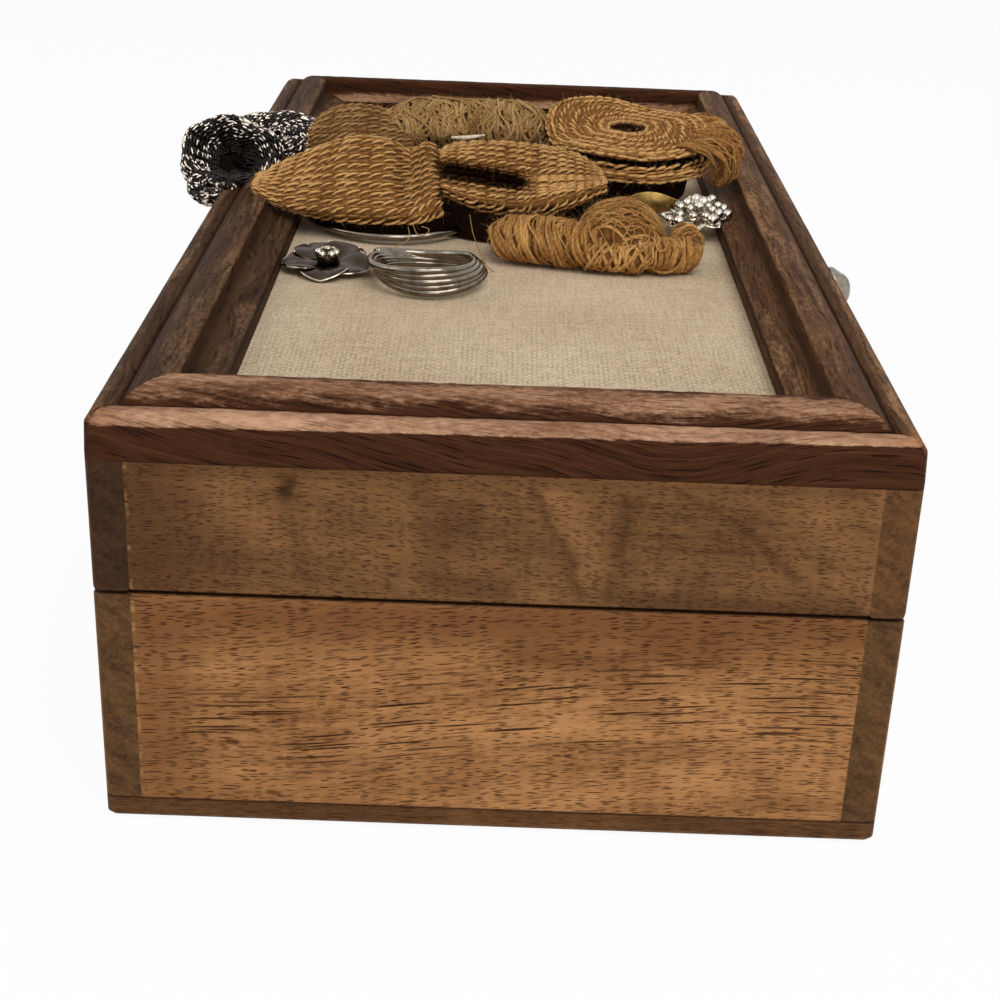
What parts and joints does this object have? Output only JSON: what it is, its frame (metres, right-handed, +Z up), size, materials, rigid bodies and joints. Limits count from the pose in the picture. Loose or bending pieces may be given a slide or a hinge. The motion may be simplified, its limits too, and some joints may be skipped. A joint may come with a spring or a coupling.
{
  "type": "trinket box",
  "caption": "Oblong wooden keepsake box with a hinged lid: a mitred moulded frame round a linen panel that carries a bunch of folded burlap, wire mesh, wire coils and metal flowers.",
  "frame": {"origin": "middle of the underside of the bottom board, on the surface the box stands on", "axes": "+X from the hinge side to the knob side, +Y along the box away from the near end, +Z up"},
  "size_m": [0.1481, 0.254, 0.0874],
  "materials": {
    "case_wood": "worn oiled wood with open pores",
    "lid_wood": "worn dark oiled wood",
    "frame_wood": "dark stained wood worn lighter at the edges",
    "bottom_wood": "dark stained wood",
    "backing_ply": "plain ply",
    "panel_card": "plain card",
    "linen": "plain woven linen",
    "brad_steel": "dull wire",
    "hinge_brass": "dulled brass",
    "knob_metal": "antiqued metal with a worn rim",
    "bolt_steel": "plated",
    "dark_wire": "polished gunmetal wire",
    "charm_metal": "darkened metal with bright edges",
    "silver_bead": "bright silver",
    "gilt": "gilt",
    "burlap": "coarse open burlap",
    "jute": "loose jute fibre",
    "black_mesh": "knitted black metal thread"
  },
  "bodies": {
    "case": {"bottom_board": "bottom_wood", "case_front_wall": "case_wood", "case_back_wall": "case_wood", "case_near_end": "case_wood", "case_far_end": "case_wood", "bottom_brads": "brad_steel", "near_hinge_case_leaf": "hinge_brass", "far_hinge_case_leaf": "hinge_brass", "near_hinge_pin": "hinge_brass", "far_hinge_pin": "hinge_brass", "case_hinge_screws": "hinge_brass"},
    "lid": {"lid_front_wall": "lid_wood", "lid_back_wall": "lid_wood", "lid_near_end": "lid_wood", "lid_far_end": "lid_wood", "frame_front_rail": "frame_wood", "frame_back_rail": "frame_wood", "frame_near_rail": "frame_wood", "frame_far_rail": "frame_wood", "lid_backing_panel": "backing_ply", "panel_card": "panel_card", "linen_cover": "linen", "backing_brads": "brad_steel", "near_hinge_lid_leaf": "hinge_brass", "far_hinge_lid_leaf": "hinge_brass", "lid_hinge_screws": "hinge_brass", "lid_knob": "knob_metal", "knob_washer": "bolt_steel", "knob_bolt": "bolt_steel", "wire_coil": "dark_wire", "wire_hoop": "dark_wire", "flower_charm": "charm_metal", "charm_beads": "charm_metal", "bead_flower": "silver_bead", "gilt_leaf": "gilt", "burlap_roll": "burlap", "burlap_leaf": "burlap", "burlap_pouch": "burlap", "burlap_rosette": "burlap", "burlap_back_fold": "burlap", "jute_roll": "jute", "mesh_flower": "black_mesh"}
  },
  "joints": [
    {"name": "lid_hinge", "type": "hinge", "parent": "case", "child": "lid", "pos_m": [-0.06535, 0, 0.04185], "axis": [0, -1, 0], "range_deg": [0, 110]}
  ]
}
